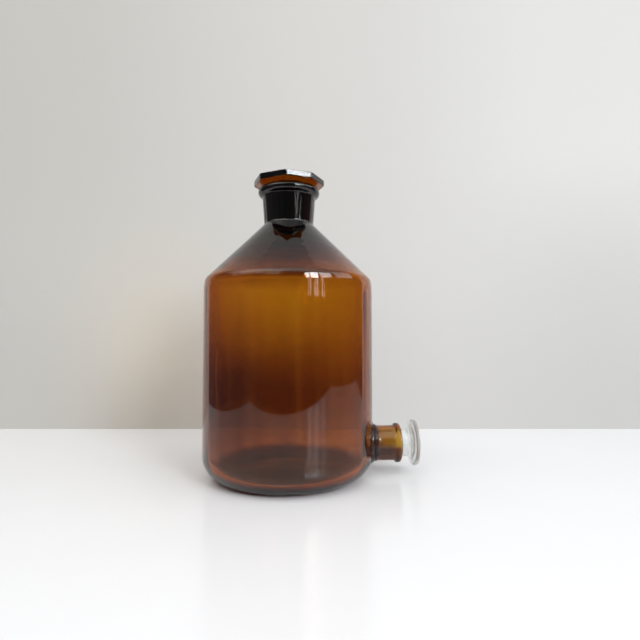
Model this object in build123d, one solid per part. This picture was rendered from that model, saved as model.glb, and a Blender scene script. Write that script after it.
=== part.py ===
from build123d import *
import math
import os

# Aspirator bottle: amber glass reagent bottle with a ground outlet near its base.
# Millimetres. Origin: on the bottle's axis, in the plane that it rests on.
# +Z up along the bottle's axis, +X along the outlet.

# ---- bottle body ----
BODY_R = 91.0            # outer radius of the cylinder
WALL = 6.5               # wall of the cylinder and the shoulder
HEEL_R = 25.5            # rounded heel, outside
HEEL_R_IN = 19.0         # rounded heel, inside
FLOOR_Z = 8.0            # inside floor above the resting plane
PUSH_R = 57.0            # push-up under the base: radius
PUSH_H = 4.5             # push-up under the base: height
CREASE_Z = 209.4         # where cylinder and shoulder cone would meet, sharp
CREASE_R = 13.0          # rounding of that crease
JOIN_R = 27.0            # where shoulder cone and neck would meet, sharp
JOIN_Z = 272.4
JOIN_FILLET = 4.2
NECK_TOP_R = 29.2        # the neck widens a little towards the lip
BEAD_R = 5.0             # lip bead: radius of its round section
BEAD_C = 28.86           # centre of that section from the axis
LIP_Z = 313.3            # top of the lip

# ---- neck ground joint, standard taper 1:10, 40/38 ----
NECK_BORE_R = 20.0       # radius at the lip
NECK_BORE_L = 40.0
TAPER = 0.05             # radius per millimetre of length
FIT = 0.05               # radial gap between ground plug and ground socket
LIP_CHAMFER = 0.6

# ---- neck stopper ----
HEAD_R = 39.2            # octagonal head, centre to corner
HEAD_Z0 = 316.3          # underside
HEAD_Z1 = 322.3          # top
HEAD_TURN = -6.2         # how far the head is turned, degrees
HEAD_EDGE = 0.7
PLUG_END_Z = 263.3
PLUG_END_ROUND = 3.0
PLUG_FILLET = 1.6        # rounding between plug and head

# ---- outlet tubulature, standard taper 29/32 ----
OUT_Z = 33.0             # height of the outlet's axis
TUBE_R = 18.7            # outer radius beside the body
TUBE_R_MOUTH = 18.9      # outer radius beside the collar
COLLAR_R = 21.15
COLLAR_X0 = 116.2
MOUTH_X = 121.8          # plane of the mouth
COLLAR_ROUND = 1.4
OUT_BORE_R = 14.6        # radius at the mouth
OUT_BORE_L = 32.0        # ground length
OUT_HOLE_R = 13.0        # plain bore behind the ground zone and through the wall
WELD_R1, WELD_X1 = 22.4, 91.9   # first weld ring: radius and outer end
WELD_R2, WELD_X2 = 19.9, 95.2   # second weld ring
WELD_END_X = 97.0

# ---- outlet stopper ----
OUT_PLUG_END_X = 87.0
OUT_HEAD_R = 24.8
OUT_HEAD_X0 = 135.4
OUT_HEAD_X1 = 140.2
OUT_HEAD_ROUND = 1.9
OUT_DISH_R = 17.5        # shallow dish in the head's outer face
OUT_DISH_H = 0.9

SEAM_TURN = 115.0        # puts the turned solid's seam line at the back, clear of the outlet

os.makedirs("parts", exist_ok=True)


def shoulder():
    """Unit direction of the cone going up, and the angle it turns from the vertical."""
    dr, dz = JOIN_R - BODY_R, JOIN_Z - CREASE_Z
    n = math.hypot(dr, dz)
    return dr / n, dz / n, math.atan2(-dr, dz)


def push_up_z(r):
    """Height of the push-up, a shallow ball cap, at radius r."""
    ball = (PUSH_R ** 2 + PUSH_H ** 2) / (2 * PUSH_H)
    return math.sqrt(ball ** 2 - r ** 2) - (ball - PUSH_H)


def outer_edges():
    """Outside of the bottle from the axis under the base to the lip's outer top."""
    ux, uz, ang = shoulder()
    t = CREASE_R * math.tan(ang / 2)
    c1 = (BODY_R, CREASE_Z - t)
    cm = (BODY_R - CREASE_R + CREASE_R * math.cos(ang / 2), CREASE_Z - t + CREASE_R * math.sin(ang / 2))
    c2 = (BODY_R + ux * t, CREASE_Z + uz * t)
    s = JOIN_FILLET * math.tan(ang / 2)
    j1 = (JOIN_R - ux * s, JOIN_Z - uz * s)
    jc = (JOIN_R + JOIN_FILLET, JOIN_Z + s)
    jm = (jc[0] - JOIN_FILLET * math.cos(ang / 2), jc[1] - JOIN_FILLET * math.sin(ang / 2))
    j2 = (JOIN_R, JOIN_Z + s)
    zb = LIP_Z - BEAD_R
    dx = NECK_TOP_R - BEAD_C
    n1 = (NECK_TOP_R, zb - math.sqrt(BEAD_R ** 2 - dx ** 2))
    h = math.sqrt(0.5)
    return [
        ThreePointArc((0, PUSH_H), (PUSH_R / 2, push_up_z(PUSH_R / 2)), (PUSH_R, 0)),
        Line((PUSH_R, 0), (BODY_R - HEEL_R, 0)),
        ThreePointArc((BODY_R - HEEL_R, 0), (BODY_R - HEEL_R + HEEL_R * h, HEEL_R * (1 - h)), (BODY_R, HEEL_R)),
        Line((BODY_R, HEEL_R), c1),
        ThreePointArc(c1, cm, c2),
        Line(c2, j1),
        ThreePointArc(j1, jm, j2),
        Line(j2, n1),
        ThreePointArc(n1, (BEAD_C + BEAD_R, zb), (BEAD_C, LIP_Z)),
    ]


def inner_edges():
    """Inside of the bottle from the lip's top down to the axis on the floor."""
    ux, uz, ang = shoulder()
    bore_end_r = NECK_BORE_R - TAPER * NECK_BORE_L
    bore_end_z = LIP_Z - NECK_BORE_L
    ri = BODY_R - WALL
    # the inner cone leaves the end of the bore and meets the inner cylinder, parallel to the outside
    k = (ri - bore_end_r) / -ux
    zc = bore_end_z - k * uz
    rc = CREASE_R * 0.8
    t = rc * math.tan(ang / 2)
    a1 = (ri + ux * t, zc + uz * t)
    a2 = (ri, zc - t)
    am = (ri - rc + rc * math.cos(ang / 2), zc - t + rc * math.sin(ang / 2))
    hz = FLOOR_Z + HEEL_R_IN
    hx = ri - HEEL_R_IN
    h = math.sqrt(0.5)
    return [
        Line((BEAD_C, LIP_Z), (NECK_BORE_R + LIP_CHAMFER, LIP_Z)),
        Line((NECK_BORE_R + LIP_CHAMFER, LIP_Z), (NECK_BORE_R - TAPER * LIP_CHAMFER, LIP_Z - LIP_CHAMFER)),
        Line((NECK_BORE_R - TAPER * LIP_CHAMFER, LIP_Z - LIP_CHAMFER), (bore_end_r, bore_end_z)),
        Line((bore_end_r, bore_end_z), a1),
        ThreePointArc(a1, am, a2),
        Line(a2, (ri, hz)),
        ThreePointArc((ri, hz), (hx + HEEL_R_IN * h, hz - HEEL_R_IN * h), (hx, FLOOR_Z)),
        Line((hx, FLOOR_Z), (PUSH_R, FLOOR_Z)),
        ThreePointArc((PUSH_R, FLOOR_Z), (PUSH_R / 2, FLOOR_Z + push_up_z(PUSH_R / 2)), (0, FLOOR_Z + PUSH_H)),
    ]


def revolved(edges):
    """Turn a closed profile, drawn as (radius, height), about the vertical axis, with its seam away from the outlet."""
    face = make_face([Plane.XZ * e for e in edges])
    return revolve(face, Axis.Z, 360).rotate(Axis.Z, SEAM_TURN)


def turned_x(points):
    """Turn a closed polyline, drawn as (x, radius), about the outlet's axis."""
    face = make_face(Polyline(*points, close=True))
    solid = revolve(face, Axis.X, 360)
    return solid.moved(Location((0, 0, OUT_Z)))


# ---- bottle body ----
full_profile = outer_edges() + [Line((BEAD_C, LIP_Z), (0, LIP_Z)), Line((0, LIP_Z), (0, PUSH_H))]
bottle_full = revolved(full_profile)

shell_profile = outer_edges() + inner_edges() + [Line((0, FLOOR_Z + PUSH_H), (0, PUSH_H))]
bottle_body = revolved(shell_profile)
outlet_hole = Cylinder(OUT_HOLE_R, 50, rotation=(0, 90, 0)).moved(Location((BODY_R, 0, OUT_Z)))
bottle_body = bottle_body - outlet_hole

# ---- outlet tubulature ----
tube_line = [
    (60, OUT_HOLE_R), (60, WELD_R1), (WELD_X1 - 1.0, WELD_R1), (WELD_X1 - 0.2, WELD_R1 - 0.6), (WELD_X1, WELD_R1 - 1.5),
    (WELD_X1 + 0.5, WELD_R2 - 0.6), (WELD_X1 + 1.1, WELD_R2), (WELD_X2 - 1.2, WELD_R2), (WELD_X2, WELD_R2 - 0.7),
    (WELD_X2 + 1.0, TUBE_R + 0.5), (WELD_END_X, TUBE_R),
    (COLLAR_X0 - 0.8, TUBE_R_MOUTH), (COLLAR_X0, TUBE_R_MOUTH + 0.5),
]
r = COLLAR_ROUND
for k in range(7):
    a = math.pi / 2 * k / 6
    tube_line.append((COLLAR_X0 + r - r * math.cos(a), COLLAR_R - r + r * math.sin(a)))
for k in range(7):
    a = math.pi / 2 * k / 6
    tube_line.append((MOUTH_X - r + r * math.sin(a), COLLAR_R - r + r * math.cos(a)))
tube_line += [
    (MOUTH_X, OUT_BORE_R + 0.5), (MOUTH_X - 0.5, OUT_BORE_R - 0.5 * TAPER),
    (MOUTH_X - OUT_BORE_L, OUT_HOLE_R),
]
outlet_tubulature = turned_x(tube_line) - bottle_full

# ---- neck stopper ----
plug_top_r = NECK_BORE_R - FIT + TAPER * (HEAD_Z0 - PLUG_FILLET - LIP_Z)
plug_end_r = NECK_BORE_R - FIT - TAPER * (LIP_Z - PLUG_END_Z)
plug = [(0, HEAD_Z0 + 1), (plug_top_r + PLUG_FILLET, HEAD_Z0 + 1), (plug_top_r + PLUG_FILLET, HEAD_Z0)]
for k in range(1, 6):
    a = math.pi / 2 * k / 5
    plug.append((plug_top_r + PLUG_FILLET * (1 - math.sin(a)), HEAD_Z0 - PLUG_FILLET * (1 - math.cos(a))))
plug.append((plug_end_r + TAPER * PLUG_END_ROUND, PLUG_END_Z + PLUG_END_ROUND))
for k in range(1, 7):
    a = math.pi / 2 * k / 6
    plug.append((plug_end_r - PLUG_END_ROUND + PLUG_END_ROUND * math.cos(a), PLUG_END_Z + PLUG_END_ROUND - PLUG_END_ROUND * math.sin(a)))
plug.append((0, PLUG_END_Z))
plug_solid = revolve(make_face([Plane.XZ * Polyline(*plug, close=True)]), Axis.Z, 360)
head = extrude(Plane.XY.offset(HEAD_Z0) * RegularPolygon(HEAD_R, 8, rotation=HEAD_TURN), HEAD_Z1 - HEAD_Z0)
head = chamfer(head.edges(), HEAD_EDGE)
neck_stopper = head + plug_solid

# ---- outlet stopper ----
op_top_r = OUT_BORE_R - FIT + TAPER * (OUT_HEAD_X0 - MOUTH_X)
op_end_r = OUT_BORE_R - FIT - TAPER * (MOUTH_X - OUT_PLUG_END_X)
r = OUT_HEAD_ROUND
op = [(OUT_PLUG_END_X, 0), (OUT_PLUG_END_X, op_end_r - 1.2), (OUT_PLUG_END_X + 0.4, op_end_r - 0.4),
      (OUT_PLUG_END_X + 1.2, op_end_r + 0.06), (OUT_HEAD_X0 - 2.0, op_top_r - 0.1), (OUT_HEAD_X0 - 0.6, op_top_r + 0.5),
      (OUT_HEAD_X0, op_top_r + 1.9)]
for k in range(7):
    a = math.pi / 2 * k / 6
    op.append((OUT_HEAD_X0 + r - r * math.cos(a), OUT_HEAD_R - r + r * math.sin(a)))
for k in range(7):
    a = math.pi / 2 * k / 6
    op.append((OUT_HEAD_X1 - r + r * math.sin(a), OUT_HEAD_R - r + r * math.cos(a)))
op += [(OUT_HEAD_X1, OUT_DISH_R + 1.0), (OUT_HEAD_X1 - OUT_DISH_H * 0.5, OUT_DISH_R - 0.6),
       (OUT_HEAD_X1 - OUT_DISH_H, OUT_DISH_R - 3.0), (OUT_HEAD_X1 - OUT_DISH_H, 0)]
outlet_stopper = turned_x(op)

for name, shape in (
    ("bottle_body", bottle_body),
    ("outlet_tubulature", outlet_tubulature),
    ("neck_stopper", neck_stopper),
    ("outlet_stopper", outlet_stopper),
):
    shape.label = name
    export_step(shape, f"parts/{name}.step")
    bb = shape.bounding_box()
    print(name, len(shape.solids()), round(shape.volume / 1000, 2), "cm3", bb.min, bb.max, shape.is_valid)
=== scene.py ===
import math

import bpy
import numpy as np
from mathutils import Matrix, Vector


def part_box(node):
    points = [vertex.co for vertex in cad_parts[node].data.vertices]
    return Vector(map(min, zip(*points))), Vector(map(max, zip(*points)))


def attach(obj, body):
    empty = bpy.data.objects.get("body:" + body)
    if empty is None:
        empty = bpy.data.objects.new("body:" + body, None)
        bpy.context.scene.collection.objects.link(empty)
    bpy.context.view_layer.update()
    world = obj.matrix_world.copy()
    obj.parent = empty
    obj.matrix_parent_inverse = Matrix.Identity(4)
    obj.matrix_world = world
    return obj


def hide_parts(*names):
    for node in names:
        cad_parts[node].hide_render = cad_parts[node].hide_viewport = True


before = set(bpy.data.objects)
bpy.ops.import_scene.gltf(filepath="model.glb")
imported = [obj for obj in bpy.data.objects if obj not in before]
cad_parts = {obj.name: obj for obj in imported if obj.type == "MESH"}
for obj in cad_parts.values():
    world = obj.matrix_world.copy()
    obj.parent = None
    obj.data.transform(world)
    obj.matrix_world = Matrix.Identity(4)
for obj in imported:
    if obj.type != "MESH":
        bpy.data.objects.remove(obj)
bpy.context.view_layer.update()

MM = 0.001
scene = bpy.context.scene

# ------------------------------------------------------------------ sizes, in millimetres, as in the CAD model
lo_body, hi_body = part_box("bottle_body")
lo_tube, hi_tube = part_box("outlet_tubulature")
lo_ns, hi_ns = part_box("neck_stopper")
lo_os, hi_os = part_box("outlet_stopper")
BODY_R = hi_body.y / MM
if abs(BODY_R - 91.0) > 0.5:
    raise SystemExit("the frame's body radius isn't the one this script was written for")
BODY_R = 91.0
WALL = 6.5
HEEL_R, HEEL_R_IN = 25.5, 19.0
FLOOR_Z = 8.0
PUSH_R, PUSH_H = 57.0, 4.5
CREASE_Z, CREASE_R = 209.4, 13.0
JOIN_R, JOIN_Z, JOIN_FILLET = 27.0, 272.4, 4.2
NECK_TOP_R = 29.2
BEAD_R, BEAD_C = 5.0, 28.86
LIP_Z = 313.3
NECK_BORE_R, NECK_BORE_L = 20.0, 40.0
TAPER, FIT = 0.05, 0.05
HEAD_R, HEAD_Z0, HEAD_Z1, HEAD_TURN = 39.2, 316.3, 322.3, math.radians(-6.2)
PLUG_END_Z = 263.3
OUT_Z = 33.0
MOUTH_X = 121.8
OUT_BORE_R, OUT_HOLE_R = 14.6, 13.0
OUT_PLUG_END_X, OUT_HEAD_R, OUT_HEAD_X0, OUT_HEAD_X1 = 87.0, 24.8, 135.4, 140.2


# ------------------------------------------------------------------ small helpers
def arc(cx, cz, r, a0, a1, n):
    """Points (radius, height) on an arc, angles in degrees from the outward direction."""
    return [(cx + r * math.cos(math.radians(a)), cz + r * math.sin(math.radians(a))) for a in np.linspace(a0, a1, n)]


def line(p, q, n):
    """n points from p to q, without p."""
    return [(p[0] + (q[0] - p[0]) * k / n, p[1] + (q[1] - p[1]) * k / n) for k in range(1, n + 1)]


def waves(seed, terms, m_range, q_range):
    """A smooth seeded function of (angle, height in mm), about -1 to 1."""
    rng = np.random.default_rng(seed)
    m = rng.integers(m_range[0], m_range[1] + 1, terms)
    q = rng.uniform(q_range[0], q_range[1], terms) * rng.choice([-1, 1], terms)
    ph = rng.uniform(0, 2 * math.pi, terms)
    amp = rng.uniform(0.5, 1.0, terms)
    amp = amp / np.sqrt((amp ** 2).sum() * 0.5) * 0.5

    def f(theta, z):
        out = np.zeros(np.broadcast(theta, z).shape)
        for k in range(terms):
            out = out + amp[k] * np.sin(m[k] * theta + q[k] * z + ph[k])
        return out

    return f


def smooth(x, a, b):
    t = np.clip((np.asarray(x, float) - a) / (b - a), 0, 1)
    return t * t * (3 - 2 * t)


def make_object(name, verts, faces, attributes=None):
    """A smooth-shaded closed mesh from vertices in millimetres, faces turned outwards."""
    v = np.asarray(verts, float)
    vol = 0.0
    for f in faces:
        for k in range(1, len(f) - 1):
            a, b, c = v[f[0]], v[f[k]], v[f[k + 1]]
            vol += a[0] * (b[1] * c[2] - b[2] * c[1]) - a[1] * (b[0] * c[2] - b[2] * c[0]) + a[2] * (b[0] * c[1] - b[1] * c[0])
    if vol < 0:
        faces = [tuple(reversed(f)) for f in faces]
    mesh = bpy.data.meshes.new(name)
    mesh.from_pydata([tuple(p) for p in (v * MM)], [], faces)
    mesh.update()
    mesh.polygons.foreach_set("use_smooth", np.ones(len(mesh.polygons), bool))
    for key, values in (attributes or {}).items():
        a = mesh.attributes.new(key, "FLOAT", "POINT")
        a.data.foreach_set("value", np.asarray(values, np.float32))
    bad = mesh.validate(verbose=False)
    if bad:
        raise SystemExit(f"{name}: the mesh had faults")
    o = bpy.data.objects.new(name, mesh)
    scene.collection.objects.link(o)
    return o


# ------------------------------------------------------------------ the bottle: one fused piece of glass
# a brown tint on the bottle by height: painted shade low down in the body; darker in the shoulder and neck
TINT_AND_SHADE_Z = (0, 12, 24, 43, 60, 80, 102, 124, 146, 168, 190, 203, 212, 222, 235, 250, 262, 275, 314)
TINT_AND_SHADE_S = (0.3, 0.3, 0.4, 0.70, 0.89, 0.94, 0.83, 0.52, 0.26, 0.11, 0.01, 0.01, 0.07, 0.34, 1.20, 2.7, 3.6, 3.0, 2.4)
TINT_AND_SHADE_K = (1.70, 2.65, 2.80)
N_T = 192          # columns round the bottle
WIN_C = 12         # the outlet's window is this many columns to each side of +X
WIN_N = 24         # rows in the window

dr, dz = JOIN_R - BODY_R, JOIN_Z - CREASE_Z
cone_len = math.hypot(dr, dz)
UX, UZ, ANG = dr / cone_len, dz / cone_len, math.atan2(-dr, dz)
DEG = math.degrees(ANG)


def push_up(r):
    ball = (PUSH_R ** 2 + PUSH_H ** 2) / (2 * PUSH_H)
    return math.sqrt(ball ** 2 - r ** 2) - (ball - PUSH_H)


def bottle_rows():
    """Rows (radius, height, side) from under the base, up the outside, over the lip and down inside to the floor.
    side is 0 outside and 1 inside; the window rows are marked by their indexes."""
    rows = []
    for r in (3.0, 9, 16, 24, 32, 40, 47, 52.5, 55.6):
        rows.append((r, push_up(r), 0))
    rows += [(57.4, 0.22, 0), (59.0, 0.03, 0), (61.5, 0.0, 0), (64.0, 0.0, 0)]
    # heel up to the window
    t_z0, t_z1 = 3.4, 62.6
    a0 = math.degrees(math.acos(1 - t_z0 / HEEL_R))
    for a in np.linspace(5, a0, 6)[:-1]:
        rows.append((BODY_R - HEEL_R + HEEL_R * math.sin(math.radians(a)), HEEL_R * (1 - math.cos(math.radians(a))), 0))
    # dense outside table of the lower body, used for the window
    tab = [(BODY_R - HEEL_R + HEEL_R * math.sin(a), HEEL_R * (1 - math.cos(a))) for a in np.linspace(0.02, math.pi / 2, 200)]
    tab += [(BODY_R, z) for z in np.linspace(HEEL_R + 0.5, 120, 150)]
    tab = np.array(tab)
    s_out = np.concatenate([[0], np.cumsum(np.hypot(*np.diff(tab, axis=0).T))])
    sa, sb = np.interp([t_z0, t_z1], tab[:, 1], s_out)
    w0 = len(rows)
    for s in np.linspace(sa, sb, WIN_N + 1):
        rows.append((np.interp(s, s_out, tab[:, 0]), np.interp(s, s_out, tab[:, 1]), 0))
    w1 = len(rows) - 1
    # cylinder to the crease
    r1, r2, a1 = 34.0, 8.5, math.radians(14)        # the crease turns gently first, then sharply
    d_r = r1 * (1 - math.cos(a1)) + r2 * (math.cos(a1) - math.cos(ANG))
    d_z = r1 * math.sin(a1) + r2 * (math.sin(ANG) - math.sin(a1))
    z1 = CREASE_Z + d_r * UZ / -UX - d_z
    rows += [(r, z, 0) for r, z in line((BODY_R, t_z1), (BODY_R, z1), 44)]
    rows += [(r, z, 0) for r, z in arc(BODY_R - r1, z1, r1, 0, 14, 9)[1:]]
    c2 = (BODY_R - r1 + (r1 - r2) * math.cos(a1), z1 + (r1 - r2) * math.sin(a1))
    rows += [(r, z, 0) for r, z in arc(c2[0], c2[1], r2, 14, DEG, 9)[1:]]
    s = JOIN_FILLET * math.tan(ANG / 2)
    j1 = (JOIN_R - UX * s, JOIN_Z - UZ * s)
    rows += [(r, z, 0) for r, z in line(rows[-1][:2], j1, 34)]
    jc = (JOIN_R + JOIN_FILLET, JOIN_Z + s)
    rows += [(r, z, 0) for r, z in arc(jc[0], jc[1], -JOIN_FILLET, DEG, 0, 9)[1:]]
    # neck and bead
    zb = LIP_Z - BEAD_R
    dx = NECK_TOP_R - BEAD_C
    n1 = (NECK_TOP_R, zb - math.sqrt(BEAD_R ** 2 - dx ** 2))
    rows += [(r, z, 0) for r, z in line(rows[-1][:2], (n1[0] - 0.1, n1[1] - 1.5), 10)]
    rows += [(n1[0] + 0.12, n1[1] - 0.45, 0), (n1[0] + 0.75, n1[1] + 0.1, 0)]
    rows += [(r, z, 0) for r, z in arc(BEAD_C, zb, BEAD_R, -70, 90, 17)]
    # lip and ground bore
    rows += [(26.5, LIP_Z, 0), (23.5, LIP_Z, 0), (21.4, LIP_Z, 0), (20.7, LIP_Z - 0.12, 0), (20.2, LIP_Z - 0.5, 0)]
    z_end = LIP_Z - NECK_BORE_L
    top = LIP_Z - 1.2
    for z in np.linspace(top, z_end + 0.8, 16):
        rows.append((NECK_BORE_R - TAPER * (LIP_Z - z), z, 0.5))
    # inside of the shoulder
    r_end = NECK_BORE_R - TAPER * NECK_BORE_L
    ri = BODY_R - WALL
    k = (ri - r_end) / -UX
    zc = z_end - k * UZ
    rows += [(r_end + 0.12, z_end - 0.1, 1), (r_end + 0.75, z_end - 0.85, 1)]
    rc = CREASE_R * 0.8
    t = rc * math.tan(ANG / 2)
    rows += [(r, z, 1) for r, z in line(rows[-1][:2], (ri + UX * t, zc + UZ * t), 36)]
    rows += [(r, z, 1) for r, z in arc(ri - rc, zc - t, rc, DEG, 0, 9)[1:]]
    # inside of the cylinder down to the window
    tab_i = [(ri - HEEL_R_IN + HEEL_R_IN * math.sin(a), FLOOR_Z + HEEL_R_IN * (1 - math.cos(a))) for a in np.linspace(0.02, math.pi / 2, 200)]
    tab_i += [(ri, z) for z in np.linspace(FLOOR_Z + HEEL_R_IN + 0.5, 120, 150)]
    tab_i = np.array(tab_i)
    s_in = np.concatenate([[0], np.cumsum(np.hypot(*np.diff(tab_i, axis=0).T))])
    i_z0, i_z1 = 10.6, 61.0
    rows += [(r, z, 1) for r, z in line(rows[-1][:2], (ri, i_z1), 44)[:-1]]
    sa, sb = np.interp([i_z0, i_z1], tab_i[:, 1], s_in)
    v0 = len(rows)
    for s in np.linspace(sb, sa, WIN_N + 1):
        rows.append((np.interp(s, s_in, tab_i[:, 0]), np.interp(s, s_in, tab_i[:, 1]), 1))
    v1 = len(rows) - 1
    a0 = math.degrees(math.acos(1 - (i_z0 - FLOOR_Z) / HEEL_R_IN))
    for a in np.linspace(a0, 4, 5)[1:]:
        rows.append((ri - HEEL_R_IN + HEEL_R_IN * math.sin(math.radians(a)), FLOOR_Z + HEEL_R_IN * (1 - math.cos(math.radians(a))), 1))
    rows += [(63.5, FLOOR_Z, 1), (60.0, FLOOR_Z + 0.02, 1), (57.5, FLOOR_Z + 0.15, 1)]
    for r in (54, 49, 42, 34, 26, 18, 10, 3.5):
        rows.append((r, FLOOR_Z + push_up(r), 1))
    return rows, (w0, w1, tab, s_out), (v0, v1, tab_i, s_in)


def build_bottle():
    rows, outer, inner = bottle_rows()
    R = np.array([(r, z) for r, z, _ in rows])
    side = np.array([s for _, _, s in rows], float)
    nr = len(rows)
    theta = 2 * math.pi * (np.arange(N_T)) / N_T
    verts, faces, kind = [], [], []     # kind: 0 outside, 1 inside, 2 outlet, 0.5 ground neck
    for i in range(nr):
        for j in range(N_T):
            verts.append((R[i, 0] * math.cos(theta[j]), R[i, 0] * math.sin(theta[j]), R[i, 1]))
            kind.append(side[i])
    vid = lambda i, j: i * N_T + (j % N_T)
    w0, w1, v0, v1 = outer[0], outer[1], inner[0], inner[1]

    def in_window(i, j):
        c = j if j < N_T // 2 else j - N_T
        return (-WIN_C <= c < WIN_C) and (w0 <= i < w1 or v0 <= i < v1)

    for i in range(nr - 1):
        for j in range(N_T):
            if not in_window(i, j):
                faces.append((vid(i, j), vid(i, j + 1), vid(i + 1, j + 1), vid(i + 1, j)))
    # poles
    for i, up in ((0, True), (nr - 1, False)):
        c = len(verts)
        z = push_up(0) if i == 0 else FLOOR_Z + push_up(0)
        verts.append((0, 0, z)); kind.append(side[i])
        for j in range(N_T):
            faces.append((c, vid(i, j + 1), vid(i, j)) if up else (c, vid(i, j), vid(i, j + 1)))

    def loop(i_low, i_high):
        """Window boundary, anticlockwise seen from +X: along the low edge, up, back, down."""
        step = 1 if i_high > i_low else -1
        out = [vid(i_low, c) for c in range(-WIN_C, WIN_C)]
        out += [vid(i, WIN_C) for i in range(i_low, i_high, step)]
        out += [vid(i_high, c) for c in range(WIN_C, -WIN_C, -1)]
        out += [vid(i, -WIN_C) for i in range(i_high, i_low, -step)]
        return out

    outer_loop = loop(w0, w1)
    inner_loop = loop(v1, v0)
    n = len(outer_loop)
    assert n == len(inner_loop)

    def angles(lp):
        p = np.array([verts[k] for k in lp])
        return np.arctan2(p[:, 2] - OUT_Z, p[:, 1])

    phi_o, phi_i = np.unwrap(angles(outer_loop)), np.unwrap(angles(inner_loop))
    # an even share, so that no part of the ring is sparse
    even = phi_o[0] + 2 * math.pi * np.arange(n) / n
    phi = 0.5 * phi_o + 0.5 * even
    phi_in = 0.5 * phi_i + 0.5 * (phi_i[0] + 2 * math.pi * np.arange(n) / n)
    while phi_in[0] - phi[0] > math.pi:
        phi_in -= 2 * math.pi
    while phi_in[0] - phi[0] < -math.pi:
        phi_in += 2 * math.pi

    def surf_x(y, z, tab):
        r = np.interp(z, tab[:, 1], tab[:, 0])
        return np.sqrt(r * r - y * y)

    def patch(lp, radius, ph, tab, s_tab, k_kind, steps, from_boundary):
        """Rings between the window boundary and a circle of this radius on the surface, boundary side first."""
        p = np.array([verts[k] for k in lp])
        th_b = np.arctan2(p[:, 1], p[:, 0])
        s_b = np.interp(p[:, 2], tab[:, 1], s_tab)
        y = radius * np.cos(ph)
        z = OUT_Z + radius * np.sin(ph)
        r_c = np.interp(z, tab[:, 1], tab[:, 0])
        th_c = np.arcsin(y / r_c)
        s_c = np.interp(z, tab[:, 1], s_tab)
        rings = []
        for t in steps:
            th = th_b + (th_c - th_b) * t
            s = s_b + (s_c - s_b) * t
            r = np.interp(s, s_tab, tab[:, 0])
            zz = np.interp(s, s_tab, tab[:, 1])
            base = len(verts)
            for a in range(n):
                verts.append((r[a] * math.cos(th[a]), r[a] * math.sin(th[a]), zz[a])); kind.append(k_kind)
            rings.append(list(range(base, base + n)))
        return rings

    def ring(points, k_kind=2):
        base = len(verts)
        for p in points:
            verts.append(tuple(p)); kind.append(k_kind)
        return list(range(base, base + n))

    tab_o, so, tab_i, si = outer[2], outer[3], inner[2], inner[3]
    RW = 24.0
    chain = [outer_loop] + patch(outer_loop, RW, phi, tab_o, so, 0, (0.2, 0.4, 0.6, 0.8, 0.92, 1.0), True)
    rng = np.random.default_rng(11)
    wr = [(rng.integers(3, 9), rng.uniform(-.9, .9), rng.uniform(0, 6.28), rng.uniform(.5, 1)) for _ in range(6)]
    wr2 = [(rng.integers(9, 19), rng.uniform(-1.6, 1.6), rng.uniform(0, 6.28), rng.uniform(.4, 1)) for _ in range(7)]

    def wrinkle(ph, k):
        a = sum(w[3] * np.sin(w[0] * ph + w[1] * k + w[2]) for w in wr) * 0.30
        b = sum(w[3] * np.sin(w[0] * ph + w[1] * k + w[2]) for w in wr2) * 0.20
        return a + b

    #       radius, height over the body, absolute x, share of absolute x, wrinkle size
    weld = [(23.45, 0.30, 0, 0.0, 0.10), (23.1, 0.7, 0, 0.0, 0.22), (22.8, 1.2, 90.0, 0.10, 0.34), (22.6, 1.7, 90.4, 0.30, 0.42),
            (22.3, 2.1, 90.9, 0.6, 0.46), (21.8, 2.4, 91.4, 0.85, 0.46), (21.1, 0, 91.9, 1, 0.42), (20.3, 0, 92.4, 1, 0.34),
            (19.7, 0, 92.8, 1, 0.34), (19.45, 0, 93.2, 1, 0.34), (19.5, 0, 93.6, 1, 0.36), (19.7, 0, 94.0, 1, 0.38),
            (19.85, 0, 94.4, 1, 0.38), (19.9, 0, 94.8, 1, 0.36), (19.75, 0, 95.3, 1, 0.3), (19.4, 0, 95.8, 1, 0.24),
            (19.05, 0, 96.4, 1, 0.18), (18.85, 0, 97.2, 1, 0.12), (18.76, 0, 98.6, 1, 0.08), (18.73, 0, 100.6, 1, 0.04)]
    for k, (r, h, X, w, amp) in enumerate(weld):
        lift = 1.3 * amp / 0.46 * (0.5 + 0.5 * np.sin(phi)) ** 2 * (1 - smooth(k, 3, 17) * 0.75)   # the seam stands proud on top
        rr = r + amp * wrinkle(phi, k * 0.55) + lift
        y = rr * np.cos(phi)
        z = OUT_Z + rr * np.sin(phi)
        x = (surf_x(y, z, tab_o) + h) * (1 - w) + w * (X + 0.7 * amp * wrinkle(phi + 1.7, k * 0.3 + 4))
        chain.append(ring(np.stack([x, y, z], 1)))
    tube = [(18.73, 103.0), (18.75, 106), (18.78, 109), (18.82, 112), (18.86, 114.4), (18.95, 115.3), (19.2, 115.8), (19.7, 116.1),
            (20.3, 116.35), (20.75, 116.8), (21.02, 117.4), (21.13, 118.1), (21.15, 119.0), (21.13, 119.9), (21.0, 120.6), (20.7, 121.15),
            (20.2, 121.55), (19.5, 121.76), (18.6, 121.8), (17.2, 121.8), (15.9, 121.78), (15.2, 121.6), (14.8, 121.25), (14.57, 120.7)]
    for r, x in tube:
        chain.append(ring(np.stack([np.full(n, x), r * np.cos(phi), OUT_Z + r * np.sin(phi)], 1)))
    bore_x = np.linspace(119.8, 90.0, 15)
    for q, x in enumerate(bore_x):
        r = OUT_BORE_R - TAPER * (MOUTH_X - x)
        ph = phi + (phi_in - phi) * smooth(q, 0, len(bore_x) - 1)
        chain.append(ring(np.stack([np.full(n, x), r * np.cos(ph), OUT_Z + r * np.sin(ph)], 1), 2.5))
    for r, x in ((13.0, 89.0), (13.02, 88.0)):
        chain.append(ring(np.stack([np.full(n, x), r * np.cos(phi_in), OUT_Z + r * np.sin(phi_in)], 1)))
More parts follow.
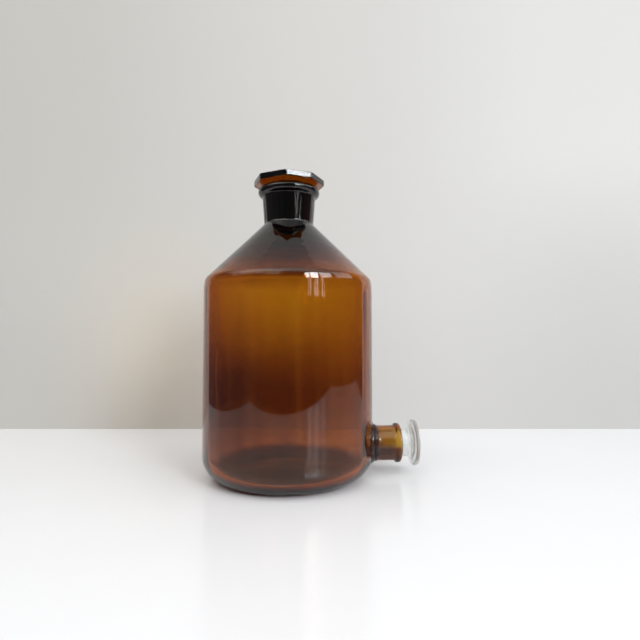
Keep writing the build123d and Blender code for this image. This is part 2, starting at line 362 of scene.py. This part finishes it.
    for r, h in ((13.08, 2.4), (13.3, 1.35), (13.75, 0.6), (14.4, 0.18)):
        y, z = r * np.cos(phi_in), OUT_Z + r * np.sin(phi_in)
        chain.append(ring(np.stack([surf_x(y, z, tab_i) + h, y, z], 1)))
    inner_rings = patch(inner_loop, 15.3, phi_in, tab_i, si, 1, (0.22, 0.45, 0.68, 0.86, 1.0), True)
    chain += list(reversed(inner_rings)) + [inner_loop]
    for a, b in zip(chain[:-1], chain[1:]):
        for j in range(n):
            k = (j + 1) % n
            faces.append((a[j], a[k], b[k], b[j]))

    # drop the window's unused inside vertices
    used = np.zeros(len(verts), bool)
    for f in faces:
        used[list(f)] = True
    remap = np.cumsum(used) - 1
    faces = [tuple(int(remap[k]) for k in f) for f in faces]
    v = np.array(verts)[used]
    kind = np.array(kind)[used]

    # unevenness of blown glass: the inside waves more than the outside
    th = np.arctan2(v[:, 1], v[:, 0])
    z = v[:, 2]
    r = np.hypot(v[:, 0], v[:, 1])
    vert_o, vert_i = waves(3, 7, (3, 14), (0.0, 0.012)), waves(4, 9, (6, 26), (0.0, 0.012))
    slow_o, slow_i = waves(5, 6, (1, 5), (0.01, 0.04)), waves(6, 8, (1, 6), (0.01, 0.06))
    rip_i = waves(8, 12, (1, 7), (0.25, 1.1))
    fine_i = waves(21, 12, (22, 60), (0.0, 0.01))
    rip_o = waves(9, 8, (1, 6), (0.05, 0.16))
    away = smooth(np.hypot(v[:, 1], v[:, 2] - OUT_Z), 24.2, 34) * (v[:, 0] > 0) + (v[:, 0] <= 0) * 1.0
    body = smooth(r, 40, 70) * smooth(z, 12, 40) * (1 - smooth(z, 192, 203))
    cone = smooth(z, 203, 214) * (1 - smooth(z, 262, 271))
    d = np.zeros(len(v))
    is_o, is_i = kind == 0, kind == 1
    d += is_o * away * body * (0.07 * vert_o(th, z) + 0.16 * slow_o(th, z))
    d += is_i * away * body * (0.34 * vert_i(th, z) + 0.45 * slow_i(th, z) + 0.10 * fine_i(th, z))
    d += is_o * cone * 0.10 * rip_o(th, z)
    d += is_o * smooth(z, 214, 232) * (1 - smooth(z, 258, 264)) * 0.045 * waves(33, 10, (2, 9), (0.45, 1.15))(th, z)
    d += is_i * cone * ((0.14 + 0.52 * smooth(z, 218, 246)) * rip_i(th, z) + 0.5 * slow_i(th, z))
    neck = smooth(z, 267, 272) * (1 - smooth(z, 297, 301))
    d += is_o * neck * 0.20 * waves(31, 12, (14, 46), (0.0, 0.05))(th, z)
    d = np.where(is_o, np.minimum(d, 0.12), d)
    v[:, 0] += d * np.cos(th)
    v[:, 1] += d * np.sin(th)
    # the floor inside and the push-up are a little uneven too
    floor = is_i * (1 - smooth(r, 50, 74)) * (z < 30)
    v[:, 2] += floor * 0.5 * waves(12, 8, (1, 7), (0, 0.001))(th, r * 60) * smooth(r, 0, 30)
    ground = np.where((kind == 0.5), smooth(v[:, 2], LIP_Z - NECK_BORE_L + 0.5, LIP_Z - NECK_BORE_L + 1.6), 0.0)
    ground_out = np.where(kind == 2.5, 1.0, 0.0)
    # painted shade and tint, laid on mostly inside: heavy low down, where it paints the shadow seen through the bottle,
    # and in the shoulder, where the glass is darker; thin in the upper body
    tint_and_painted_shade = np.interp(z, TINT_AND_SHADE_Z, TINT_AND_SHADE_S)
    # painted shade: the tint is heavier on the left side and lighter on the right side, which faces the windows
    left, right = 1 - smooth(np.cos(th), -0.75, -0.25), smooth(np.cos(th), 0.0, 0.80)
    painted_side_shade = 1 + (0.10 + 0.32 * smooth(z, 196, 210)) * left - 0.40 * right * (1 - smooth(z, 180, 200))
    painted_side_shade -= 0.14 * right * smooth(z, 200, 208) * (1 - smooth(z, 226, 240))
    streaks = 1 + 0.16 * waves(41, 11, (5, 30), (0.0, 0.006))(th, z) * (1 - smooth(z, 190, 210))
    tint_and_painted_shade = tint_and_painted_shade * painted_side_shade * streaks * (1 + 0.05 * slow_i(th * 1.0, z * 2.0))
    inside = (is_i | (kind == 0.5)).astype(float)
    outer_share = 0.20 + 0.42 * smooth(z, 196, 212)
    tint_and_painted_shade = tint_and_painted_shade * (inside * (1 - outer_share) + is_o * outer_share)
    # painted shade: the floor inside is tinted heavily, where the table under it lies in shadow
    tint_and_painted_shade = np.where(is_i & (z < 24), np.maximum(tint_and_painted_shade, 1.9 * (1 - smooth(r, 76, 84))), tint_and_painted_shade)
    # the neck and lip are darker
    tint_and_painted_shade = np.where(is_o & (z > 255), np.maximum(tint_and_painted_shade, 1.7 * smooth(z, 262, 276)), tint_and_painted_shade)
    # painted shade: the outlet is darker in its lower half; it is also darker at its weld, at its inner end and round
    # its foot on the body
    low = 1 - smooth(v[:, 2], OUT_Z - 4, OUT_Z + 0.5)
    hyp = np.hypot(v[:, 1], v[:, 2] - OUT_Z)
    tint_and_painted_shade = np.where(is_o & (v[:, 0] > 60) & (hyp < 27), np.maximum(tint_and_painted_shade, 0.6 * (1 - smooth(hyp, 23.6, 26.5))), tint_and_painted_shade)
    tint_and_painted_shade = np.where(kind == 2.5, 0.06 + 0.9 * low + 0.7 * (1 - smooth(v[:, 0], 92, 97)), tint_and_painted_shade)
    tint_and_painted_shade = np.where((kind == 2) & (v[:, 0] < 92.0) & (np.hypot(v[:, 1], v[:, 2] - OUT_Z) <= 17), 1.0, tint_and_painted_shade)
    tint_and_painted_shade = np.where((kind == 2) & (v[:, 0] > 96.0) & (np.hypot(v[:, 1], v[:, 2] - OUT_Z) > 17), 0.6 * low, tint_and_painted_shade)
    tint_and_painted_shade = np.where((kind == 2) & (v[:, 0] < 96.0) & (np.hypot(v[:, 1], v[:, 2] - OUT_Z) > 17), 1.5, tint_and_painted_shade)
    colour = np.exp(-np.outer(tint_and_painted_shade, TINT_AND_SHADE_K))
    o = make_object("bottle_glass", v, faces, {"ground": ground, "ground_outlet": ground_out})
    a = o.data.attributes.new("tint_and_painted_shade", "FLOAT_COLOR", "POINT")
    a.data.foreach_set("color", np.concatenate([colour, np.ones((len(v), 1))], 1).astype(np.float32).ravel())
    return o


# ------------------------------------------------------------------ turned closed pieces
def turned(name, rows, n, axis, attributes=None, shape=None):
    """A closed mesh turned about Z, or about the outlet's axis (axis="x": rows are then (radius, x)).
    shape(i, angles) may give a factor or a radius for a row in place of the circle."""
    verts, faces = [], []
    phis = shape.angles if shape else 2 * math.pi * np.arange(n) / n
    n = len(phis)
    for i, (r, t) in enumerate(rows):
        rr = shape(i, r) if shape else np.full(n, r)
        for j in range(n):
            c, s = rr[j] * math.cos(phis[j]), rr[j] * math.sin(phis[j])
            verts.append((c, s, t) if axis == "z" else (t, c, OUT_Z + s))
    for i in range(len(rows) - 1):
        for j in range(n):
            k = (j + 1) % n
            faces.append((i * n + j, i * n + k, (i + 1) * n + k, (i + 1) * n + j))
    last = (len(rows) - 1) * n
    for i0, t in ((0, rows[0][1]), (last, rows[-1][1])):
        c = len(verts)
        verts.append((0, 0, t) if axis == "z" else (t, 0, OUT_Z))
        for j in range(n):
            k = (j + 1) % n
            faces.append((c, i0 + k, i0 + j) if i0 == 0 else (c, i0 + j, i0 + k))
    att = {}
    for key, f in (attributes or {}).items():
        att[key] = [f(*p) for p in verts]
    return make_object(name, verts, faces, att)


class Octagon:
    """Radius of an eight-sided outline with slightly rounded corners, at angles crowded near the corners."""

    def __init__(self, corner):
        side = [0.0, 0.012, 0.026, 0.042, 0.065, 0.12, 0.25, 0.5, 0.75, 0.88, 0.935, 0.958, 0.974, 0.988]
        apothem = HEAD_R * math.cos(math.pi / 8)
        half = HEAD_R * math.sin(math.pi / 8)
        self.angles, radius = [], []
        for k in range(8):
            for t in side:
                off = (2 * t - 1) * half
                # round the corner: pull back within `corner` of it
                e = min(t, 1 - t) * 2 * half
                cut = 0.0 if e > corner else (corner - e) ** 2 / (2 * corner) * 0.35
                x, y = apothem - cut, off
                self.angles.append(HEAD_TURN + math.pi / 8 + k * math.pi / 4 + math.atan2(y, x))
                radius.append(math.hypot(x, y))
        self.angles = np.array(self.angles)
        self.full = np.array(radius)
        self.share = []

    def __call__(self, i, r):
        s = self.share[i]
        return s * self.full * (r / HEAD_R) + (1 - s) * r * np.ones(len(self.full))


def build_neck_stopper():
    shape = Octagon(2.2)
    rows, share = [], []

    def add(r, z, s=0.0):
        rows.append((r, z)); share.append(s)

    top = HEAD_Z1
    for r, s in ((4, 0), (9, 0), (15, 0), (20, 0.05), (25, 0.25), (29.5, 0.55), (33.5, 0.85), (36.6, 1.0)):
        add(r, top - 0.25 * (1 - (r / 38) ** 2), s)
    add(38.4, top, 1); add(38.75, top, 1); add(38.98, top - 0.05, 1); add(39.12, top - 0.17, 1); add(39.18, top - 0.32, 1)
    add(39.2, top - 0.5, 1); add(39.2, top - 1.0, 1); add(39.2, (HEAD_Z0 + HEAD_Z1) / 2, 1); add(39.2, HEAD_Z0 + 1.0, 1); add(39.2, HEAD_Z0 + 0.5, 1)
    add(39.18, HEAD_Z0 + 0.32, 1); add(39.12, HEAD_Z0 + 0.17, 1); add(38.98, HEAD_Z0 + 0.05, 1); add(38.75, HEAD_Z0, 1)
    add(38.0, HEAD_Z0, 1); add(36.4, HEAD_Z0, 1)
    for r, s in ((33.6, 0.8), (30.5, 0.5), (27.5, 0.22), (25, 0.05), (23.4, 0)):
        add(r, HEAD_Z0, s)
    pr = NECK_BORE_R - FIT
    f = 1.6
    zf = HEAD_Z0 - f
    base = pr + TAPER * (zf - LIP_Z)
    for a in np.linspace(8, 90, 7):
        add(base + f * (1 - math.sin(math.radians(a))), HEAD_Z0 - f * (1 - math.cos(math.radians(a))))
    for z in np.linspace(LIP_Z + 0.6, PLUG_END_Z + 3.2, 20):
        add(pr - TAPER * (LIP_Z - z), z)
    pe = pr - TAPER * (LIP_Z - PLUG_END_Z)
    for a in np.linspace(0, 90, 8)[1:]:
        add(pe - 3.0 + 3.0 * math.cos(math.radians(a)) + 0.1 * (1 - a / 90), PLUG_END_Z + 3.0 - 3.0 * math.sin(math.radians(a)))
    for r in (12.0, 9.0, 6.0, 3.0):
        add(r, PLUG_END_Z + 0.35 * (1 - (r / 14.4) ** 2))
    shape.share = share

    def ground(x, y, z):
        r = math.hypot(x, y)
        return 1.0 if (PLUG_END_Z + 5.5 < z < LIP_Z + 0.4 and r > 16) else 0.0

    return turned("neck_stopper_glass", rows, 0, "z", {"ground": ground}, shape)


def build_outlet_stopper():
    rows = []
    pr = OUT_BORE_R - FIT
    pe = pr - TAPER * (MOUTH_X - OUT_PLUG_END_X)
    for r in (2.5, 5.0, 7.5, 9.5):
        rows.append((r, OUT_PLUG_END_X + 0.25 * (1 - (r / 11) ** 2)))
    for a in np.linspace(90, 0, 6):
        rows.append((pe - 1.6 + 1.6 * math.cos(math.radians(a)), OUT_PLUG_END_X + 1.6 - 1.6 * math.sin(math.radians(a))))
    for x in np.linspace(OUT_PLUG_END_X + 3.5, MOUTH_X + 3.0, 16):
        rows.append((pr - TAPER * (MOUTH_X - x), x))
    pt = pr + TAPER * (OUT_HEAD_X0 - MOUTH_X)
    rows += [(pt - 0.45, MOUTH_X + 6), (pt - 0.7, MOUTH_X + 8.5), (pt - 0.55, OUT_HEAD_X0 - 2.6), (pt - 0.15, OUT_HEAD_X0 - 1.3), (pt + 0.5, OUT_HEAD_X0 - 0.5),
             (pt + 1.4, OUT_HEAD_X0 - 0.1), (pt + 2.4, OUT_HEAD_X0), (19.5, OUT_HEAD_X0), (21.5, OUT_HEAD_X0 + 0.02)]
    r = 1.9
    for a in np.linspace(0, 90, 7):
        rows.append((OUT_HEAD_R - r + r * math.sin(math.radians(a)), OUT_HEAD_X0 + r - r * math.cos(math.radians(a))))
    for a in np.linspace(90, 0, 7):
        rows.append((OUT_HEAD_R - r + r * math.sin(math.radians(a)), OUT_HEAD_X1 - r + r * math.cos(math.radians(a))))
    rows += [(21.5, OUT_HEAD_X1), (20.0, OUT_HEAD_X1 - 0.02), (18.9, OUT_HEAD_X1 - 0.12), (18.0, OUT_HEAD_X1 - 0.35), (17.0, OUT_HEAD_X1 - 0.62),
             (15.8, OUT_HEAD_X1 - 0.82), (14.4, OUT_HEAD_X1 - 0.9), (11.5, OUT_HEAD_X1 - 0.9), (8.0, OUT_HEAD_X1 - 0.88), (4.0, OUT_HEAD_X1 - 0.86)]

    def ground(x, y, z):
        q = math.hypot(y, z - OUT_Z)
        return 1.0 if (OUT_PLUG_END_X + 2.5 < x < MOUTH_X + 0.2 and q > 12) else 0.0

    return turned("outlet_stopper_glass", rows, 112, "x", {"ground": ground})


# ------------------------------------------------------------------ glass
def glass(name, density, colour, polished, ground, ground_outlet=None, ior=1.5, tint_and_painted_shade=False, clearness=1.0):
    m = bpy.data.materials.new(name)
    m.use_nodes = True
    nt = m.node_tree
    nt.nodes.clear()
    out = nt.nodes.new("ShaderNodeOutputMaterial")
    b = nt.nodes.new("ShaderNodeBsdfPrincipled")
    b.inputs["Base Color"].default_value = (1, 1, 1, 1)
    b.inputs["IOR"].default_value = ior
    b.inputs["Transmission Weight"].default_value = clearness
    nt.links.new(b.outputs["BSDF"], out.inputs["Surface"])
    vol = nt.nodes.new("ShaderNodeVolumeAbsorption")
    vol.inputs["Color"].default_value = (*colour, 1)
    vol.inputs["Density"].default_value = density
    nt.links.new(vol.outputs["Volume"], out.inputs["Volume"])
    att = nt.nodes.new("ShaderNodeAttribute"); att.attribute_name = "ground"
    # ground faces have fine grinding rings and small polished patches
    tc = nt.nodes.new("ShaderNodeTexCoord")
    noise = nt.nodes.new("ShaderNodeTexNoise")
    noise.inputs["Scale"].default_value = 900.0
    noise.inputs["Detail"].default_value = 3.0
    nt.links.new(tc.outputs["Object"], noise.inputs["Vector"])
    rough_g = nt.nodes.new("ShaderNodeMapRange")
    rough_g.inputs["To Min"].default_value = ground * 0.8
    rough_g.inputs["To Max"].default_value = ground * 1.2
    nt.links.new(noise.outputs["Fac"], rough_g.inputs["Value"])
    # polished glass: faint handling haze in broad patches
    haze = nt.nodes.new("ShaderNodeTexNoise")
    haze.inputs["Scale"].default_value = 14.0
    haze.inputs["Detail"].default_value = 4.0
    nt.links.new(tc.outputs["Object"], haze.inputs["Vector"])
    rough_p = nt.nodes.new("ShaderNodeMapRange")
    rough_p.inputs["From Min"].default_value = 0.45
    rough_p.inputs["From Max"].default_value = 0.75
    rough_p.inputs["To Min"].default_value = polished
    rough_p.inputs["To Max"].default_value = polished + 0.004
    nt.links.new(haze.outputs["Fac"], rough_p.inputs["Value"])
    mix = nt.nodes.new("ShaderNodeMix"); mix.data_type = "FLOAT"
    nt.links.new(att.outputs["Fac"], mix.inputs["Factor"])
    nt.links.new(rough_p.outputs["Result"], mix.inputs["A"])
    nt.links.new(rough_g.outputs["Result"], mix.inputs["B"])
    last = mix.outputs["Result"]
    if ground_outlet is not None:
        att2 = nt.nodes.new("ShaderNodeAttribute"); att2.attribute_name = "ground_outlet"
        mix2 = nt.nodes.new("ShaderNodeMix"); mix2.data_type = "FLOAT"
        nt.links.new(att2.outputs["Fac"], mix2.inputs["Factor"])
        nt.links.new(last, mix2.inputs["A"])
        mix2.inputs["B"].default_value = ground_outlet
        last = mix2.outputs["Result"]
    nt.links.new(last, b.inputs["Roughness"])
    if tint_and_painted_shade:
        tint = nt.nodes.new("ShaderNodeAttribute"); tint.attribute_name = "tint_and_painted_shade"
        nt.links.new(tint.outputs["Color"], b.inputs["Base Color"])
    return m


def absorb(r, g, b):
    """Absorption per millimetre in red, green and blue -> (density per metre, colour)."""
    d = max(r, g, b) * 1000.0
    return d, (1 - r * 1000 / d, 1 - g * 1000 / d, 1 - b * 1000 / d)


AMBER = absorb(0.049, 0.131, 0.46)
AMBER_STOPPER = absorb(0.190, 0.410, 0.90)
CLEAR = absorb(0.0016, 0.0010, 0.0016)

amber = glass("amber_glass", *AMBER, 0.0, 0.30, 0.35, tint_and_painted_shade=True)
amber_s = glass("amber_stopper_glass", *AMBER_STOPPER, 0.0, 0.30, tint_and_painted_shade=True)
clear = glass("clear_glass", *CLEAR, 0.15, 0.40, clearness=0.87)

bottle = build_bottle()
bottle.data.materials.append(amber)
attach(bottle, "bottle")
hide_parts("bottle_body", "outlet_tubulature")

neck_stopper = build_neck_stopper()
zs = np.array([p.co.z for p in neck_stopper.data.vertices])
zs = zs * (1000.0 if zs.max() < 1.0 else 1.0)
# the plug is darker below the head
plug_darkening = np.exp(-np.outer(1.6 * (1 - smooth(zs, HEAD_Z0 - 9, HEAD_Z0 - 5)), TINT_AND_SHADE_K))
at_p = neck_stopper.data.attributes.new("tint_and_painted_shade", "FLOAT_COLOR", "POINT")
at_p.data.foreach_set("color", np.concatenate([plug_darkening, np.ones((len(zs), 1))], 1).astype(np.float32).ravel())
neck_stopper.data.materials.append(amber_s)
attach(neck_stopper, "neck_stopper")
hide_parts("neck_stopper")

outlet_stopper = build_outlet_stopper()
outlet_stopper.data.materials.append(clear)
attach(outlet_stopper, "outlet_stopper")
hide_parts("outlet_stopper")

# ------------------------------------------------------------------ camera
CAM = Vector((0.0, -0.52185, 0.14606))
YAW, PITCH = 0.0662, 0.0418
cam_data = bpy.data.cameras.new("camera")
cam_data.lens = 474.0 / 640.0 * 36.0
cam_data.sensor_width = 36.0
cam_data.clip_start, cam_data.clip_end = 0.01, 50
cam = bpy.data.objects.new("camera", cam_data)
scene.collection.objects.link(cam)
fwd = Vector((math.sin(YAW) * math.cos(PITCH), math.cos(YAW) * math.cos(PITCH), math.sin(PITCH)))
right = Vector((math.cos(YAW), -math.sin(YAW), 0))
up = right.cross(fwd)
cam.matrix_world = Matrix.Translation(CAM) @ Matrix((right, up, -fwd)).transposed().to_4x4()
scene.camera = cam


# ------------------------------------------------------------------ stage: pale table, pale wall
def stage_material(name, colour, rough, see_through_back=False, spec=0.3, shade=None):
    m = bpy.data.materials.new(name)
    m.use_nodes = True
    nt = m.node_tree
    b = nt.nodes["Principled BSDF"]
    out = nt.nodes["Material Output"]
    b.inputs["Base Color"].default_value = (*colour, 1)
    b.inputs["Roughness"].default_value = rough
    b.inputs["Specular IOR Level"].default_value = spec
    if shade:
        at = nt.nodes.new("ShaderNodeAttribute"); at.attribute_name = shade
        nt.links.new(at.outputs["Color"], b.inputs["Base Color"])
    if see_through_back:
        geo = nt.nodes.new("ShaderNodeNewGeometry")
        tr = nt.nodes.new("ShaderNodeBsdfTransparent")
        mix = nt.nodes.new("ShaderNodeMixShader")
        nt.links.new(geo.outputs["Backfacing"], mix.inputs["Fac"])
        nt.links.new(b.outputs["BSDF"], mix.inputs[1])
        nt.links.new(tr.outputs["BSDF"], mix.inputs[2])
        nt.links.new(mix.outputs["Shader"], out.inputs["Surface"])
    return m


def quad(name, pts, mat):
    mesh = bpy.data.meshes.new(name)
    mesh.from_pydata([tuple(p) for p in pts], [], [tuple(range(len(pts)))])
    mesh.materials.append(mat)
    o = bpy.data.objects.new(name, mesh)
    scene.collection.objects.link(o)
    return o


table = stage_material("stage_table", (0.825, 0.83, 0.85), 0.17, spec=0.5)
wall_m = stage_material("stage_wall", (0.8, 0.8, 0.8), 0.9, see_through_back=True, spec=0.1, shade="shade")
WALL_D = 0.784            # wall's distance from the camera, along the ground
g = Vector((math.sin(YAW), math.cos(YAW), 0))
s = Vector((math.cos(YAW), -math.sin(YAW), 0))
foot = Vector((CAM.x, CAM.y, 0)) + g * WALL_D
# painted shade: the wall card is greyer towards its left side, its foot and its lower right, and lighter in its upper
# right; it is also warmer towards the left
wu, wz = np.linspace(-0.58, 0.60, 41), np.linspace(0, 1.3, 41)
wall_v = [tuple(foot + s * float(a) + Vector((0, 0, float(b)))) for b in wz for a in wu]
wall_f = [(r * 41 + c, r * 41 + c + 1, (r + 1) * 41 + c + 1, (r + 1) * 41 + c) for r in range(40) for c in range(40)]
wall_mesh = bpy.data.meshes.new("stage_wall")
wall_mesh.from_pydata(wall_v, [], wall_f)
wall_mesh.materials.append(wall_m)
uu, zz_ = np.tile(wu, 41), np.repeat(wz, 41)
wall_painted_shade = (0.90 + 0.10 * smooth(uu, -0.45, 0.05)) * (0.86 + 0.14 * smooth(zz_, 0.0, 0.34)) * (1 - 0.10 * smooth(uu, 0.15, 0.5) * (1 - smooth(zz_, 0.2, 0.5))) * (1 + 0.09 * smooth(uu, 0.05, 0.4) * smooth(zz_, 0.25, 0.5))
warm = 1 - smooth(uu, -0.45, 0.35)
# a painted warm patch at the wall's foot beside the bottle stands in for light that has come through the amber glass
painted_amber_cast = np.exp(-((uu + 0.26) / 0.11) ** 2 - ((zz_ - 0.11) / 0.15) ** 2)
tint = np.stack([0.652 * wall_painted_shade * (1 + 0.13 * painted_amber_cast), 0.642 * wall_painted_shade * (1 - 0.015 * warm) * (1 + 0.055 * painted_amber_cast),
                 0.630 * wall_painted_shade * (1 - 0.05 * warm) * (1 - 0.04 * painted_amber_cast), np.ones(len(wall_painted_shade))], 1)
at_ = wall_mesh.attributes.new("shade", "FLOAT_COLOR", "POINT")
at_.data.foreach_set("color", tint.astype(np.float32).ravel())
wall_o = bpy.data.objects.new("stage_wall", wall_mesh)
scene.collection.objects.link(wall_o)
front = Vector((CAM.x, CAM.y, 0)) - g * 0.06
back = foot + g * 0.02
quad("stage_floor", [front - s * 0.60, front + s * 0.9, back + s * 1.3, back - s * 0.66], table)


# ------------------------------------------------------------------ light
world = bpy.data.worlds.new("world")
scene.world = world
world.use_nodes = True
wn = world.node_tree
bg = wn.nodes["Background"]
tcw = wn.nodes.new("ShaderNodeTexCoord")
sep = wn.nodes.new("ShaderNodeSeparateXYZ")
wn.links.new(tcw.outputs["Generated"], sep.inputs["Vector"])
ceil_ = wn.nodes.new("ShaderNodeMapRange"); ceil_.interpolation_type = "SMOOTHSTEP"
ceil_.inputs["From Min"].default_value = 0.45
ceil_.inputs["From Max"].default_value = 0.85
ceil_.inputs["To Min"].default_value = 0.09
ceil_.inputs["To Max"].default_value = 0.60
wn.links.new(sep.outputs["Z"], ceil_.inputs["Value"])
side_ = wn.nodes.new("ShaderNodeMapRange"); side_.interpolation_type = "SMOOTHSTEP"
side_.inputs["From Min"].default_value = -0.35
side_.inputs["From Max"].default_value = -0.9
side_.inputs["To Min"].default_value = 0.0
side_.inputs["To Max"].default_value = 0.05
wn.links.new(sep.outputs["X"], side_.inputs["Value"])
both = wn.nodes.new("ShaderNodeMath"); both.operation = "ADD"
wn.links.new(ceil_.outputs["Result"], both.inputs[0])
wn.links.new(side_.outputs["Result"], both.inputs[1])
wn.links.new(both.outputs["Value"], bg.inputs["Strength"])
bg.inputs["Color"].default_value = (1.0, 0.99, 0.98, 1)


def window(name, az, el, dist, w, h, radiance, colour=(1, 1, 1)):
    """A rectangular light seen from the bottle at azimuth az (from -Y towards +X) and elevation el, in degrees.
    w and h are its apparent width and height, in degrees."""
    a, e = math.radians(az), math.radians(el)
    d = Vector((math.sin(a) * math.cos(e), -math.cos(a) * math.cos(e), math.sin(e)))
    w, h = 2 * dist * math.tan(math.radians(w / 2)) * math.cos(e), 2 * dist * math.tan(math.radians(h / 2))
    light = bpy.data.lights.new(name, "AREA")
    light.shape = "RECTANGLE"
    light.size, light.size_y = w, h
    light.energy = radiance * math.pi * w * h
    light.color = colour
    o = bpy.data.objects.new(name, light)
    scene.collection.objects.link(o)
    o.location = Vector((0, 0, 0.16)) + d * dist
    o.rotation_euler = (-d).to_track_quat("-Z", "Y").to_euler()
    return o


SKY = (0.93, 0.97, 1.0)
# the window's bright upper panes, right of the camera, and the panes beside them
for k, (a0, a1, e0, e1, power) in enumerate(((22.0, 27.6, 17.5, 33, 19.0), (29.0, 40.0, 17.5, 33, 21.0), (43.0, 60.0, 19, 33, 7.0), (66.0, 98.0, 19, 40, 2.6))):
    window(f"pane_{k}", (a0 + a1) / 2, (e0 + e1) / 2, 6.0, a1 - a0, e1 - e0, power, SKY)
window("overhead", -14, 64, 3.0, 150, 44, 1.02, (1.0, 0.99, 0.97))
window("fill", -42, 46, 4.0, 70, 36, 1.15, (1.0, 0.96, 0.90))
# the dimmer lower panes, seen past their bars
for k, (a0, a1, power) in enumerate(((25.0, 25.8, 5.0), (27.0, 28.6, 4.0), (33.2, 34.6, 6.0), (36.2, 38.2, 5.0), (43.6, 44.8, 6.0), (46.4, 47.4, 4.0))):
    window(f"low_{k}", (a0 + a1) / 2, 11.5, 6.0, a1 - a0, 12.0, power, SKY)

scene.view_settings.view_transform = "Standard"
scene.cycles.max_bounces = 32
scene.cycles.transmission_bounces = 32
scene.cycles.glossy_bounces = 16
scene.cycles.transparent_max_bounces = 16
